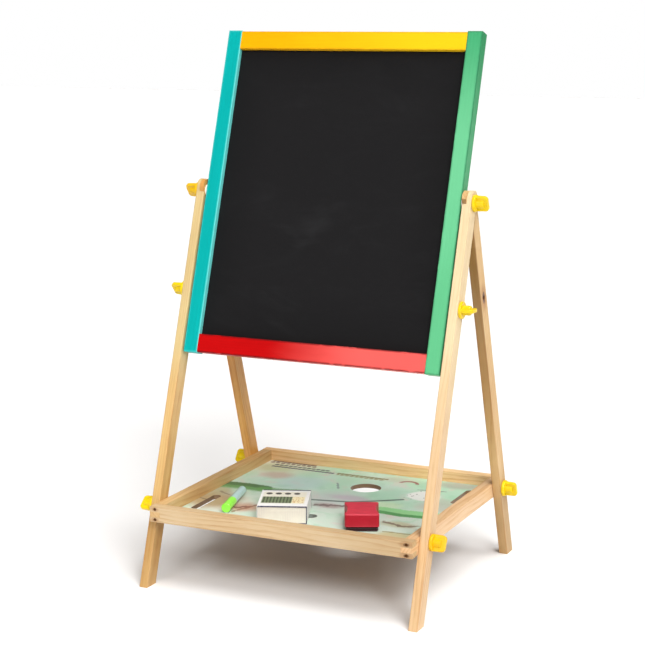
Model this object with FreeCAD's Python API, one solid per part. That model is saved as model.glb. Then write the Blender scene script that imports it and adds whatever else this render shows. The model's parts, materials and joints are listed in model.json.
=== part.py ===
# Children's double-sided table easel: an A-frame of four pine legs, a turning board and a drop-in tray.
# Right-handed, millimetres, X to the right, -Y to the front, +Z up, feet on Z = 0.
import FreeCAD
import Part
import math
import os

V = FreeCAD.Vector

# ---- driving sizes -------------------------------------------------------------------------------
BOARD_W = 368.0          # outside width of the board frame
BOARD_H = 444.5          # outside height of the board frame, along its lean
BOARD_T = 17.0           # thickness of the frame rails
SIDE_RAIL_W = 20.5       # face width of the two side rails
CROSS_RAIL_W = 24.5      # face width of the top and bottom rails
RAIL_STEP = 1.0          # the cross rails sit this far in from the ends of the side rails
SHEET_T = 1.6            # each of the two writing sheets
GROOVE_DEPTH = 6.0       # groove in the rails that holds both sheets back to back

PIVOT_Z = 508.0          # height of the board pivot
LEAN_FRONT = 18.5        # lean of the front legs and of the board, degrees from upright
LEAN_REAR = 17.7         # lean of the rear legs, degrees from upright
LEG_T = 12.0             # leg thickness across the easel
LEG_D = 22.0             # leg depth, front to back
LEG_TOP = 16.0           # leg above the pivot
SIDE_GAP = 2.0           # gap between the board and each leg, filled by a washer
LOCK_DROP = 137.0        # lock screw below the pivot, measured along the front leg
SPARE_DROP = 133.7       # plain spare hole in each rear leg, measured the same way

TRAY_FRONT = -166.0      # front face of the tray
TRAY_REAR = 170.0        # rear face of the tray
TRAY_TOP = 109.0         # height of the tray rim
TRAY_RAIL_H = 21.0       # height of the tray rails
TRAY_RAIL_T = 15.0       # thickness of the tray rails
TRAY_PANEL_TOP = 94.0    # height of the tray floor
TRAY_PANEL_T = 6.0       # thickness of the tray floor, flush below with the rails
TRAY_SCREW_Z = 101.5     # height of the four tray screws
TRAY_REBATE = 4.6        # width of the rebate under the tray rails that holds the floor
HOLE_X = 16.0            # centre of the round cup hole in the floor
HOLE_Y = 78.0
HOLE_R = 21.5
SLOT_X = 153.5           # finger slots, one near each side rail
SLOT_Y_LEFT = -73.0
SLOT_Y_RIGHT = 93.0
SLOT_LENGTH = 70.0
SLOT_W = 12.0

STUD_R = 3.0             # M6 stud of every wing knob
INSERT_R = 4.5           # threaded brass insert
INSERT_LENGTH = 12.0
WASHER_R = 9.0
KNOB_FLANGE_R = 11.0     # round foot of a wing knob
KNOB_FLANGE_T = 4.0
KNOB_HUB_R = 6.2
KNOB_HUB_LENGTH = 14.0
WING_LENGTH = 19.5       # how far the wings stand off the leg
WING_ROOT = 10.8         # half span of the wings at the flange
WING_TIP = 10.2          # half span of the wings at the outer end
WING_T = 5.0
WING_CORNER_R = 4.8      # rounded outer corners of the wings

DOWEL_R = 3.0            # beech dowels at the corners of the board
DOWEL_LENGTH = 24.0
DOWEL_SPACING = 9.0
DOWEL_IN_SIDE = 8.0      # how much of a dowel sits in the side rail
NAIL_R = 0.8             # wire nails at the corners of the tray
NAIL_HEAD_R = 2.1
NAIL_HEAD_T = 1.0
NAIL_LENGTH = 30.0
NAIL_SET = 0.5           # nail heads are punched this far below the wood

CHALK_TURN = 21.5        # the chalk box lies turned by this much in the tray
CHALK_X = -29.4
CHALK_Y = -83.9
CHALK_W = 65.0
CHALK_D = 78.0
CHALK_H = 23.0
CARD_T = 0.8             # card of the chalk box
CHALK_STICK_R = 4.75
CHALK_STICK_LENGTH = 72.0
CHALK_COLUMNS = 6
CHALK_ROWS = 2
ERASER_TURN = 24.7
ERASER_X = 81.3
ERASER_Y = -82.0
ERASER_W = 44.5
ERASER_D = 57.0
ERASER_H = 16.5
ERASER_CORNER_R = 3.6
FELT_T = 6.5
FELT_INSET = 1.2
WAIST_DEPTH = 3.6        # hollow in the long sides of the eraser, for the fingers
WAIST_END = 4.5          # full-width part at each end of the hollows
WAIST_START = 5.0        # the hollows begin this far above the felt
MARKER_X = -119.5
MARKER_Y = -47.0
MARKER_TURN = 103.7      # direction of the marker pen in the tray
MARKER_R = 5.6
MARKER_CAP_R = 6.2
MARKER_CAP_LENGTH = 34.0
MARKER_BARREL_LENGTH = 55.0
MARKER_NECK_R = 4.4
MARKER_NECK_LENGTH = 15.0
MARKER_NIB_R = 1.7
MARKER_NIB_LENGTH = 11.0

# ---- clearances ----------------------------------------------------------------------------------
FIT_RUN = 0.08           # radial, shafts that turn
FIT_PRESS = 0.02         # radial, pieces pressed or glued in
FIT_SHEET = 0.1          # sheets in their grooves, each side
FIT_LAP = 0.05           # half-lap joint, each face
FIT_FINGER = 0.03        # finger joints, each face
FIT_FACE = 0.1           # flat faces that turn against each other
FIT_CARD = 0.25          # chalk drawer in its sleeve
STUD_STOP = 0.4          # a backed-off lock stud ends this far inside the leg
EDGE = 1.2               # eased edges on the legs
RAIL_EDGE = 0.9          # eased edges on the rails

# ---- derived sizes -------------------------------------------------------------------------------
LEG_IN = BOARD_W / 2 + SIDE_GAP
LEG_OUT = LEG_IN + LEG_T
LEG_MID = LEG_IN + LEG_T / 2
LEAN_F = math.radians(LEAN_FRONT)
LEAN_R = math.radians(LEAN_REAR)
FRONT_REACH = PIVOT_Z * math.tan(LEAN_F) + LEG_D / 2 / math.cos(LEAN_F)
REAR_REACH = PIVOT_Z * math.tan(LEAN_R) + LEG_D / 2 / math.cos(LEAN_R)
PIVOT_Y = (FRONT_REACH - REAR_REACH) / 2
LEG_DOWN = PIVOT_Z / math.cos(max(LEAN_F, LEAN_R)) + LEG_D
GROOVE_W = 2 * SHEET_T + 2 * FIT_SHEET
GROOVE_X = BOARD_W / 2 - SIDE_RAIL_W + GROOVE_DEPTH
CROSS_TOP = BOARD_H / 2 - RAIL_STEP
CROSS_IN = CROSS_TOP - CROSS_RAIL_W
SCREW_DROP = PIVOT_Z - TRAY_SCREW_Z
KNOB_FACE = LEG_OUT + FIT_FACE
STUD_HEAD = KNOB_FACE + KNOB_HUB_LENGTH - 2 * EDGE
TRAY_X = LEG_IN
TRAY_IN_X = TRAY_X - TRAY_RAIL_T
TRAY_BOTTOM = TRAY_TOP - TRAY_RAIL_H
LOCK_Y = PIVOT_Y - LOCK_DROP * math.sin(LEAN_F)
LOCK_Z = PIVOT_Z - LOCK_DROP * math.cos(LEAN_F)
PIVOT_TIP = BOARD_W / 2 - INSERT_LENGTH + 1
LOCK_TIP = LEG_IN + STUD_STOP
TRAY_TIP = TRAY_X - INSERT_LENGTH + 1
FINGER_H = TRAY_RAIL_H / 3
FAR = 600.0
PARALLEL = 0.99          # cosine above which an edge counts as running along an axis


# ---- helpers -------------------------------------------------------------------------------------
def box(x0, x1, y0, y1, z0, z1):
    return Part.makeBox(x1 - x0, y1 - y0, z1 - z0, V(x0, y0, z0))


def rod_x(radius, x0, x1, y=0.0, z=0.0):
    return Part.makeCylinder(radius, x1 - x0, V(x0, y, z), V(1, 0, 0))


def rod_y(radius, y0, y1, x, z):
    return Part.makeCylinder(radius, y1 - y0, V(x, y0, z), V(0, 1, 0))


def rod_z(radius, z0, z1, x, y):
    return Part.makeCylinder(radius, z1 - z0, V(x, y, z0), V(0, 0, 1))


def eased(shape, radius, axis):
    # rounds the edges of a box that run along one axis
    edges = []
    for edge in shape.Edges:
        run = edge.tangentAt(edge.FirstParameter)
        if abs(run.dot(axis)) > PARALLEL:
            edges.append(edge)
    return shape.makeFillet(radius, edges)


def cut(shape, tools):
    for tool in tools:
        shape = shape.cut(tool)
    return shape


def lean(shape, degrees):
    # carries a piece from its own upright frame to its lean about the pivot
    out = shape.copy()
    out.rotate(V(0, 0, 0), V(1, 0, 0), degrees)
    out.translate(V(0, PIVOT_Y, PIVOT_Z))
    return out


def mirrored(shape):
    return shape.mirror(V(0, 0, 0), V(1, 0, 0))


def turned(shape, degrees, x, y, z):
    # lays a loose piece down in the tray
    out = shape.copy()
    out.rotate(V(0, 0, 0), V(0, 0, 1), degrees)
    out.translate(V(x, y, z))
    return out


def tube_x(radius, bore, x0, x1):
    return rod_x(radius, x0, x1).cut(rod_x(bore, x0 - 1, x1 + 1))


def save(name, *shapes):
    if len(shapes) == 1:
        whole = shapes[0]
    else:
        whole = Part.makeCompound(list(shapes))
    whole.exportStep("parts/" + name + ".step")


# ---- legs ----------------------------------------------------------------------------------------
def leg_blank(lean_angle, middle_drop):
    # upright leg: long edges eased, top end fully rounded, drilled for pivot, middle and tray screws
    stick = eased(box(LEG_IN, LEG_OUT, -LEG_D / 2, LEG_D / 2, -LEG_DOWN, LEG_TOP), EDGE, V(0, 0, 1))
    centre = LEG_TOP - LEG_D / 2
    outline = box(LEG_IN, LEG_OUT, -LEG_D / 2, LEG_D / 2, -LEG_DOWN, centre)
    outline = outline.fuse(rod_x(LEG_D / 2, LEG_IN, LEG_OUT, 0.0, centre))
    stick = stick.common(outline)
    holes = []
    for drop in (0.0, middle_drop, SCREW_DROP / math.cos(lean_angle)):
        holes.append(rod_x(STUD_R + FIT_RUN, LEG_IN - 1, LEG_OUT + 1, 0.0, -drop))
    return cut(stick, holes)


def front_leg():
    # the outer half carries on to the top, the inner half stops at the shoulder
    leg = leg_blank(LEAN_F, LOCK_DROP)
    leg = leg.cut(rod_x(INSERT_R + FIT_PRESS, LEG_IN - 1, LEG_OUT - RAIL_EDGE, 0.0, -LOCK_DROP))
    leg = lean(leg, -LEAN_FRONT)
    lap = box(LEG_IN - 1, LEG_MID + FIT_LAP, -LEG_D / 2 - FIT_LAP, FAR, -FAR / 4, FAR)
    leg = leg.cut(lean(lap, LEAN_REAR))
    return leg.cut(floor_block())


def rear_leg():
    # the inner half carries on to the top, the outer half stops at the shoulder
    leg = lean(leg_blank(LEAN_R, SPARE_DROP), LEAN_REAR)
    lap = box(LEG_MID - FIT_LAP, LEG_OUT + 1, -FAR, LEG_D / 2 + FIT_LAP, -FAR / 4, FAR)
    leg = leg.cut(lean(lap, -LEAN_FRONT))
    return leg.cut(floor_block())


def floor_block():
    return box(-FAR, FAR, -FAR, FAR, -FAR, 0.0)


# ---- board ---------------------------------------------------------------------------------------
def dowel_spots():
    # heights of the dowels, two in each end of each cross rail
    spots = []
    for side in (-1, 1):
        middle = side * (CROSS_TOP - (CROSS_RAIL_W - GROOVE_DEPTH) / 2)
        spots.append(middle - DOWEL_SPACING / 2)
        spots.append(middle + DOWEL_SPACING / 2)
    return spots


def dowel_holes():
    # right-hand holes: from inside the side rail into the end of the cross rail
    start = GROOVE_X + DOWEL_IN_SIDE + FIT_LAP
    holes = []
    for z in dowel_spots():
        holes.append(rod_x(DOWEL_R + FIT_PRESS, start - DOWEL_LENGTH - 1, start, 0.0, z))
    return holes


def side_rail():
    x1 = BOARD_W / 2
    rail = box(x1 - SIDE_RAIL_W, x1, -BOARD_T / 2, BOARD_T / 2, -BOARD_H / 2, BOARD_H / 2)
    rail = eased(rail, RAIL_EDGE, V(0, 0, 1))
    groove = box(0, GROOVE_X, -GROOVE_W / 2, GROOVE_W / 2, -CROSS_TOP, CROSS_TOP)
    pocket = rod_x(INSERT_R + FIT_PRESS, x1 - INSERT_LENGTH, x1 + 1)
    return cut(rail, [groove, pocket] + dowel_holes())


def cross_rail(side):
    # a rail between the side rails, with a stub tongue on each end that fills the groove
    x1 = BOARD_W / 2 - SIDE_RAIL_W
    z0, z1 = sorted((side * CROSS_IN, side * CROSS_TOP))
    rail = eased(box(-x1, x1, -BOARD_T / 2, BOARD_T / 2, z0, z1), RAIL_EDGE, V(1, 0, 0))
    tongue_y = GROOVE_W / 2 - FIT_PRESS
    tongue = box(-GROOVE_X + FIT_SHEET, GROOVE_X - FIT_SHEET, -tongue_y, tongue_y, z0, z1)
    rail = rail.fuse(tongue)
    g0, g1 = sorted((0.0, side * (CROSS_IN + GROOVE_DEPTH)))
    rail = rail.cut(box(-FAR, FAR, -GROOVE_W / 2, GROOVE_W / 2, g0, g1))
    holes = dowel_holes()
    for hole in dowel_holes():
        holes.append(mirrored(hole))
    return cut(rail, holes).removeSplitter()


def sheet(side):
    # one writing sheet; both lie back to back in the groove
    x1 = GROOVE_X - FIT_SHEET
    z1 = CROSS_IN + GROOVE_DEPTH - FIT_SHEET
    y0, y1 = sorted((0.0, side * SHEET_T))
    return box(-x1, x1, y0, y1, -z1, z1)


def dowels():
    pieces = []
    end = GROOVE_X + DOWEL_IN_SIDE
    for z in dowel_spots():
        pin = eased_pin(end - DOWEL_LENGTH, end, z)
        pieces.append(pin)
        pieces.append(mirrored(pin))
    return pieces


def eased_pin(x0, x1, z):
    pin = rod_x(DOWEL_R, x0, x1, 0.0, z)
    rims = [edge for edge in pin.Edges if edge.Closed]
    return pin.makeChamfer(RAIL_EDGE / 2, rims)


def insert_piece(face):
    # brass insert, flush with the outer face it is screwed into
    return tube_x(INSERT_R, STUD_R + FIT_RUN, face - INSERT_LENGTH, face)


def washer_piece():
    inner = BOARD_W / 2 + FIT_FACE
    return tube_x(WASHER_R, STUD_R + FIT_RUN, inner, LEG_IN - FIT_FACE)


# ---- wing knobs ----------------------------------------------------------------------------------
def knob_piece(tilt):
    # round foot, short hub and two wings that narrow toward the outer end; bored for its stud
    foot = rod_x(KNOB_FLANGE_R, KNOB_FACE, KNOB_FACE + KNOB_FLANGE_T)
    foot = foot.makeFillet(EDGE, [edge for edge in foot.Edges if edge.Closed])
    hub = rod_x(KNOB_HUB_R, KNOB_FACE + EDGE, KNOB_FACE + KNOB_HUB_LENGTH)
    hub = hub.makeFillet(EDGE, [hub.Edges[0]])
    start = KNOB_FACE + EDGE
    end = KNOB_FACE + WING_LENGTH
    corners = [V(start, 0, -WING_ROOT), V(end, 0, -WING_TIP), V(end, 0, WING_TIP), V(start, 0, WING_ROOT)]
    face = Part.Face(Part.makePolygon(corners + [corners[0]]))
    wings = face.extrude(V(0, WING_T, 0))
    wings.translate(V(0, -WING_T / 2, 0))
    tips = []
    for edge in wings.Edges:
        if abs(edge.tangentAt(edge.FirstParameter).y) > PARALLEL and edge.CenterOfMass.x > end - EDGE:
            tips.append(edge)
    wings = wings.makeFillet(WING_CORNER_R, tips)
    rims = []
    for edge in wings.Edges:
        if edge.CenterOfMass.x > start + EDGE and abs(abs(edge.CenterOfMass.y) - WING_T / 2) < FIT_PRESS:
            rims.append(edge)
    wings = wings.makeFillet(EDGE, rims)
    knob = foot.fuse(hub).fuse(wings)
    knob = knob.cut(rod_x(STUD_R + FIT_PRESS, KNOB_FACE - 1, STUD_HEAD + FIT_SHEET))
    knob = knob.removeSplitter()
    knob.rotate(V(0, 0, 0), V(1, 0, 0), tilt)
    return knob


def stud_piece(tip):
    stud = rod_x(STUD_R, tip, STUD_HEAD)
    rims = [edge for edge in stud.Edges if edge.Closed and edge.CenterOfMass.x < tip + 1]
    return stud.makeChamfer(RAIL_EDGE / 2, rims)


def placed(shape, side, y, z):
    out = shape.copy()
    out.translate(V(0, y, z))
    if side < 0:
        out = mirrored(out)
    return out


# ---- tray ----------------------------------------------------------------------------------------
def tray_floor_block(gap):
    # the floor itself, or with a gap the recess it takes up in the rails, which is open below
    x1 = TRAY_IN_X + TRAY_REBATE + gap
    y0 = TRAY_FRONT + TRAY_RAIL_T - TRAY_REBATE - gap
    y1 = TRAY_REAR - TRAY_RAIL_T + TRAY_REBATE + gap
    return box(-x1, x1, y0, y1, TRAY_PANEL_TOP - TRAY_PANEL_T - gap, TRAY_PANEL_TOP + gap)


def slot_block(x, y):
    z0 = TRAY_BOTTOM
    z1 = TRAY_TOP
    half = SLOT_LENGTH / 2 - SLOT_W / 2
    block = box(x - SLOT_W / 2, x + SLOT_W / 2, y - half, y + half, z0, z1)
    block = block.fuse(rod_z(SLOT_W / 2, z0, z1, x, y - half))
    return block.fuse(rod_z(SLOT_W / 2, z0, z1, x, y + half))


def tray_panel():
    hole = rod_z(HOLE_R, TRAY_BOTTOM, TRAY_TOP, HOLE_X, HOLE_Y)
    slots = [slot_block(-SLOT_X, SLOT_Y_LEFT), slot_block(SLOT_X, SLOT_Y_RIGHT)]
    return cut(tray_floor_block(0.0), [hole] + slots)


def nail_spots():
    # the nails go through the outer fingers of the front and rear rails into the side rails
    spots = []
    for x in (TRAY_RAIL_T / 2 - TRAY_X, TRAY_X - TRAY_RAIL_T / 2):
        for z in (TRAY_BOTTOM + FINGER_H / 2, TRAY_TOP - FINGER_H / 2):
            spots.append((x, z))
    return spots


def nail(x, z, front):
    # a nail through the front rail, or its twin through the rear rail
    y0 = TRAY_FRONT + NAIL_SET
    head = rod_y(NAIL_HEAD_R, y0, y0 + NAIL_HEAD_T, x, z)
    piece = head.fuse(rod_y(NAIL_R, y0, y0 + NAIL_LENGTH, x, z))
    return to_end(piece, front)


def nail_hole(x, z, front):
    y0 = TRAY_FRONT
    head = rod_y(NAIL_HEAD_R + FIT_PRESS, y0 - 1, y0 + NAIL_SET + NAIL_HEAD_T + FIT_PRESS, x, z)
    hole = head.fuse(rod_y(NAIL_R + FIT_PRESS, y0, y0 + NAIL_LENGTH + 1, x, z))
    return to_end(hole, front)


def to_end(shape, front):
    if front:
        return shape
    middle = (TRAY_FRONT + TRAY_REAR) / 2
    return shape.mirror(V(0, middle, 0), V(0, 1, 0))


def nail_holes():
    holes = []
    for x, z in nail_spots():
        holes.append(nail_hole(x, z, True))
        holes.append(nail_hole(x, z, False))
    return holes


def end_rail(front):
    # front or rear rail: full width, with a notch in the middle third at each end
    y0 = TRAY_FRONT if front else TRAY_REAR - TRAY_RAIL_T
    y1 = y0 + TRAY_RAIL_T
    rail = eased(box(-TRAY_X, TRAY_X, y0, y1, TRAY_BOTTOM, TRAY_TOP), RAIL_EDGE, V(1, 0, 0))
    z0 = TRAY_BOTTOM + FINGER_H
    z1 = TRAY_TOP - FINGER_H
    notches = []
    for x0, x1 in ((-TRAY_X - 1, -TRAY_IN_X), (TRAY_IN_X, TRAY_X + 1)):
        notches.append(box(x0, x1, y0 - 1, y1 + 1, z0, z1))
    return cut(rail, notches + nail_holes() + [tray_floor_block(FIT_SHEET)])


def tray_side_rail():
    # right-hand side rail, with one finger on each end that fills the notches
    y0 = TRAY_FRONT + TRAY_RAIL_T
    y1 = TRAY_REAR - TRAY_RAIL_T
    rail = eased(box(TRAY_IN_X, TRAY_X, y0, y1, TRAY_BOTTOM, TRAY_TOP), RAIL_EDGE, V(0, 1, 0))
    z0 = TRAY_BOTTOM + FINGER_H + FIT_FINGER
    z1 = TRAY_TOP - FINGER_H - FIT_FINGER
    finger = box(TRAY_IN_X + FIT_FINGER, TRAY_X, TRAY_FRONT, TRAY_REAR, z0, z1)
    return rail.fuse(finger)


def tray_side(side):
    rail = tray_side_rail() if side > 0 else mirrored(tray_side_rail())
    pockets = []
    for y in (screw_y(True), screw_y(False)):
        pockets.append(placed(rod_x(INSERT_R + FIT_PRESS, TRAY_X - INSERT_LENGTH, TRAY_X + 1), side, y,
                              TRAY_SCREW_Z))
    return cut(rail, pockets + nail_holes() + [tray_floor_block(FIT_SHEET)]).removeSplitter()


def screw_y(front):
    # where a leg's centre line crosses the height of the tray screws
    if front:
        return PIVOT_Y - SCREW_DROP * math.tan(LEAN_F)
    return PIVOT_Y + SCREW_DROP * math.tan(LEAN_R)


# ---- chalk box, eraser and marker ----------------------------------------------------------------
def chalk_sleeve():
    outer = box(-CHALK_W / 2, CHALK_W / 2, -CHALK_D / 2, CHALK_D / 2, 0, CHALK_H)
    w = CHALK_W / 2 - CARD_T
    return outer.cut(box(-w, w, -FAR, FAR, CARD_T, CHALK_H - CARD_T))


def chalk_drawer():
    w = CHALK_W / 2 - CARD_T - FIT_CARD
    d = CHALK_D / 2 - CARD_T
    z0 = CARD_T + FIT_CARD
    z1 = CHALK_H - CARD_T - FIT_CARD
    outer = box(-w, w, -d, d, z0, z1)
    return outer.cut(box(CARD_T - w, w - CARD_T, CARD_T - d, d - CARD_T, z0 + CARD_T, FAR))


def chalk_sticks():
    pitch = (CHALK_W - 4 * CARD_T - 2 * FIT_CARD) / CHALK_COLUMNS
    first = -pitch * (CHALK_COLUMNS - 1) / 2
    base = 2 * CARD_T + 2 * FIT_CARD + CHALK_STICK_R
    sticks = []
    for row in range(CHALK_ROWS):
        for column in range(CHALK_COLUMNS):
            x = first + column * pitch
            z = base + row * (2 * CHALK_STICK_R + FIT_SHEET)
            stick = rod_y(CHALK_STICK_R, -CHALK_STICK_LENGTH / 2, CHALK_STICK_LENGTH / 2, x, z)
            sticks.append(in_tray_chalk(stick))
    return sticks


def eraser_body():
    # moulded grip with hollowed long sides and a rounded top
    z1 = FELT_T + ERASER_H
    grip = box(-ERASER_W / 2, ERASER_W / 2, -ERASER_D / 2, ERASER_D / 2, FELT_T, z1)
    grip = eased(grip, ERASER_CORNER_R, V(0, 0, 1))
    half = ERASER_D / 2 - WAIST_END
    reach = (half * half + WAIST_DEPTH * WAIST_DEPTH) / (2 * WAIST_DEPTH)
    for side in (-1, 1):
        x = side * (ERASER_W / 2 + reach - WAIST_DEPTH)
        grip = grip.cut(rod_z(reach, FELT_T + WAIST_START, z1 + 1, x, 0.0))
    rims = []
    for edge in grip.Edges:
        if edge.BoundBox.ZMin > z1 - FIT_SHEET:
            rims.append(edge)
    return grip.makeFillet(EDGE, rims)


def eraser_felt():
    x1 = ERASER_W / 2 - FELT_INSET
    y1 = ERASER_D / 2 - FELT_INSET
    return eased(box(-x1, x1, -y1, y1, 0.0, FELT_T), ERASER_CORNER_R, V(0, 0, 1))


def marker_barrel():
    # tube closed at the back, stepped down to the neck the cap fits over; ink chamber inside
    x0 = -MARKER_BARREL_LENGTH / 2
    x1 = MARKER_BARREL_LENGTH / 2
    shell = rod_x(MARKER_R, x0, x1)
    shell = shell.makeFillet(EDGE, [edge for edge in shell.Edges if edge.Closed and
                                    edge.CenterOfMass.x < 0])
    neck = rod_x(MARKER_NECK_R, x1 - 1, x1 + MARKER_NECK_LENGTH)
    shell = shell.fuse(neck)
    shell = shell.cut(rod_x(MARKER_NECK_R - EDGE, x0 + 2 * EDGE, x1 + MARKER_NECK_LENGTH / 2))
    bore = MARKER_NIB_R + FIT_PRESS
    return shell.cut(rod_x(bore, x1, x1 + MARKER_NECK_LENGTH + 1)).removeSplitter()


def marker_nib():
    tip = MARKER_BARREL_LENGTH / 2 + MARKER_NECK_LENGTH
    nib = rod_x(MARKER_NIB_R, tip - MARKER_NIB_LENGTH / 2, tip + MARKER_NIB_LENGTH / 2)
    rims = [edge for edge in nib.Edges if edge.Closed and edge.CenterOfMass.x > tip]
    return nib.makeChamfer(MARKER_NIB_R / 2, rims)


def marker_cap():
    x0 = MARKER_BARREL_LENGTH / 2 + FIT_FACE
    x1 = x0 + MARKER_CAP_LENGTH
    cap = rod_x(MARKER_CAP_R, x0, x1)
    cap = cap.makeFillet(EDGE, [edge for edge in cap.Edges if edge.Closed and edge.CenterOfMass.x > x1 - 1])
    return cap.cut(rod_x(MARKER_NECK_R + FIT_RUN, x0 - 1, x1 - 2 * EDGE))


def in_tray_marker(shape):
    z = TRAY_PANEL_TOP + FIT_SHEET + MARKER_CAP_R
    return turned(shape, MARKER_TURN + 180.0, MARKER_X, MARKER_Y, z)


def in_tray_chalk(shape):
    return turned(shape, CHALK_TURN, CHALK_X, CHALK_Y, TRAY_PANEL_TOP + FIT_SHEET)


def in_tray_eraser(shape):
    return turned(shape, ERASER_TURN, ERASER_X, ERASER_Y, TRAY_PANEL_TOP + FIT_SHEET)


# ---- build ---------------------------------------------------------------------------------------
os.makedirs("parts", exist_ok=True)

save("front_leg_right", front_leg())
save("front_leg_left", mirrored(front_leg()))
save("rear_leg_right", rear_leg())
save("rear_leg_left", mirrored(rear_leg()))

save("board_rail_right", lean(side_rail(), -LEAN_FRONT))
save("board_rail_left", lean(mirrored(side_rail()), -LEAN_FRONT))
save("board_rail_top", lean(cross_rail(1), -LEAN_FRONT))
save("board_rail_bottom", lean(cross_rail(-1), -LEAN_FRONT))
save("blackboard_panel", lean(sheet(-1), -LEAN_FRONT))
save("whiteboard_panel", lean(sheet(1), -LEAN_FRONT))
save("board_dowels", *[lean(pin, -LEAN_FRONT) for pin in dowels()])

# sleeves and washers on the pivot line, the lock line and the four tray screws
RAIL_INSERT = insert_piece(BOARD_W / 2)
LEG_INSERT = tube_x(INSERT_R, STUD_R + FIT_RUN, LEG_IN, LEG_OUT - 2 * RAIL_EDGE)
TRAY_INSERT = insert_piece(TRAY_X)
save("pivot_inserts", *[placed(RAIL_INSERT, side, PIVOT_Y, PIVOT_Z) for side in (-1, 1)])
save("pivot_washers", *[placed(washer_piece(), side, PIVOT_Y, PIVOT_Z) for side in (-1, 1)])
save("lock_inserts", *[placed(LEG_INSERT, side, LOCK_Y, LOCK_Z) for side in (-1, 1)])
TRAY_SPOTS = [(side, screw_y(front)) for side in (-1, 1) for front in (True, False)]
save("tray_inserts", *[placed(TRAY_INSERT, side, y, TRAY_SCREW_Z) for side, y in TRAY_SPOTS])

# wing knobs: name, side, position, tilt of the wings, inner end of the stud
KNOBS = [
    ("pivot_{}_left", -1, PIVOT_Y, PIVOT_Z, 35.0, PIVOT_TIP),
    ("pivot_{}_right", 1, PIVOT_Y, PIVOT_Z, 25.0, PIVOT_TIP),
    ("lock_{}_left", -1, LOCK_Y, LOCK_Z, 40.0, LOCK_TIP),
    ("lock_{}_right", 1, LOCK_Y, LOCK_Z, 88.0, LOCK_TIP),
    ("tray_front_{}_left", -1, screw_y(True), TRAY_SCREW_Z, -50.0, TRAY_TIP),
    ("tray_front_{}_right", 1, screw_y(True), TRAY_SCREW_Z, -25.0, TRAY_TIP),
    ("tray_rear_{}_left", -1, screw_y(False), TRAY_SCREW_Z, -35.0, TRAY_TIP),
    ("tray_rear_{}_right", 1, screw_y(False), TRAY_SCREW_Z, 20.0, TRAY_TIP),
]
for name, side, y, z, tilt, tip in KNOBS:
    save(name.format("knob"), placed(knob_piece(tilt), side, y, z))
    save(name.format("stud"), placed(stud_piece(tip), side, y, z))

save("tray_rail_front", end_rail(True))
save("tray_rail_rear", end_rail(False))
save("tray_rail_left", tray_side(-1))
save("tray_rail_right", tray_side(1))
save("tray_panel", tray_panel())
NAILS = [nail(x, z, front) for x, z in nail_spots() for front in (True, False)]
save("tray_nails", *NAILS)

save("chalk_sleeve", in_tray_chalk(chalk_sleeve()))
save("chalk_drawer", in_tray_chalk(chalk_drawer()))
save("chalk_sticks", *chalk_sticks())
save("eraser_body", in_tray_eraser(eraser_body()))
save("eraser_felt", in_tray_eraser(eraser_felt()))
save("marker_barrel", in_tray_marker(marker_barrel()))
save("marker_nib", in_tray_marker(marker_nib()))
save("marker_cap", in_tray_marker(marker_cap()))
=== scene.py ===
import json
import math

import bmesh
import bpy
from mathutils import Euler, Matrix, Vector, noise


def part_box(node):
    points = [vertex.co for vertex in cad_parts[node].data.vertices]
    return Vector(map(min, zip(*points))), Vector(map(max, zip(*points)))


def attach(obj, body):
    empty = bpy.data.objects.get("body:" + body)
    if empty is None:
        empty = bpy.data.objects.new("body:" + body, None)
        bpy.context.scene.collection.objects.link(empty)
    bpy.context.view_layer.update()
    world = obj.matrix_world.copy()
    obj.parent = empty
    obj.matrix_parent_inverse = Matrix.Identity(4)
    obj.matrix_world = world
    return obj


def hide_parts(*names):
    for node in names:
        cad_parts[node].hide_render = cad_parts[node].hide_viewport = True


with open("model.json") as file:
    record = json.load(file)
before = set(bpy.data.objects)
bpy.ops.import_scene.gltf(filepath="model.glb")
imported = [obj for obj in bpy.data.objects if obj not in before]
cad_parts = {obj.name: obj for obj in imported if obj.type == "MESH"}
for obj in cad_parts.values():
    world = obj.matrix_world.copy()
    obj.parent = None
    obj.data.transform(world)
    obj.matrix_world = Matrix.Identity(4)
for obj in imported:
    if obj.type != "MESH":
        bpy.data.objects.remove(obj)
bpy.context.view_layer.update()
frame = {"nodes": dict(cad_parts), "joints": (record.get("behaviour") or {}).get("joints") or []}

JOINTS = {joint["name"]: joint for joint in frame["joints"]}
NODES = frame["nodes"]
ERASER_TURN = math.radians(24.7)    # the eraser lies turned by this about Z
FINE_GRAIN = 2400                   # noise scale of the finest tooth on plastic and card


# ---- places read from the frame ------------------------------------------------------------------
def anchor(joint):
    return Vector(JOINTS[joint]["pos_m"])


def lean_of(joint):
    """Turn about X of the leg that runs from the board pivot down to this screw."""
    run = anchor("board_flip") - anchor(joint)
    return math.atan2(-run.y, run.z)


PIVOT = anchor("board_flip")
LEAN_FRONT = lean_of("tray_front_screw_right_turn")
LEAN_REAR = lean_of("tray_rear_screw_right_turn")


class Place:
    """A piece's own frame: its turn, its origin, and which of its axes the grain follows (last)."""

    def __init__(self, turn=(0, 0, 0), origin=(0, 0, 0), order="XYZ"):
        self.turn, self.origin, self.order = tuple(turn), tuple(origin), order
        self.matrix = Matrix.Translation(self.origin) @ Euler(self.turn).to_matrix().to_4x4()

    def box(self, *names):
        """Lowest and highest corner of these CAD nodes in this frame, axes in grain order."""
        back = self.matrix.inverted()
        points = [back @ v.co for n in names for v in NODES[n].data.vertices]
        picks = ["XYZ".index(axis) for axis in self.order]
        low = [min(p[i] for p in points) for i in picks]
        high = [max(p[i] for p in points) for i in picks]
        return low, high


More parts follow.
